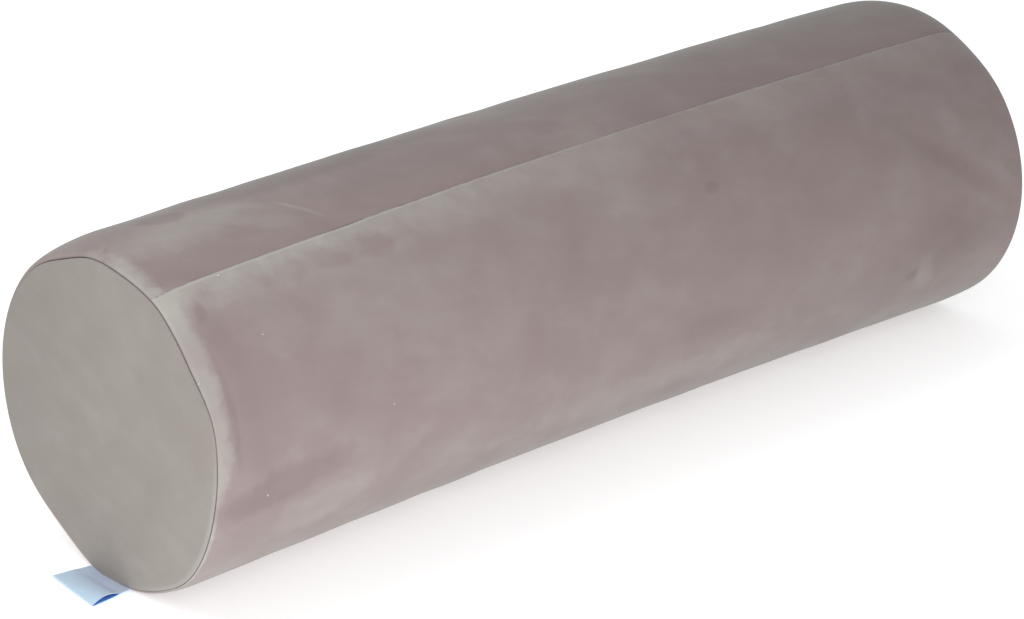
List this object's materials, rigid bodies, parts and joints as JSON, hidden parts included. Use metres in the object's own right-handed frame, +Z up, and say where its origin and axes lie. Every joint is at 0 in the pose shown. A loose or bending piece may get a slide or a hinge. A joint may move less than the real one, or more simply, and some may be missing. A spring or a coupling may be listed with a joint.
{
  "type": "bolster cushion",
  "caption": "Firm round bolster cushion in short-pile velvet, with flat round end panels, one long plain seam and a folded ribbon label, lying on its side.",
  "frame": {"origin": "centre of the narrow flat that the roll rests on, halfway along the roll", "axes": "+X along the roll away from the labelled end, +Z up, -Y towards the side with the long seam"},
  "size_m": [0.6272, 0.1923, 0.1838],
  "materials": {
    "wrap_velvet": "mauve-taupe short-pile velvet with soft marks where the pile is brushed another way",
    "end_velvet": "the same velvet seen along its pile, greyer and smoother",
    "label_ribbon": "pale blue smooth woven ribbon, royal blue on its inner side, bare"
  },
  "bodies": {
    "root": {"body_roll": "wrap_velvet", "end_panel_near": "end_velvet", "end_panel_far": "end_velvet", "label_loop": "label_ribbon"}
  },
  "joints": []
}
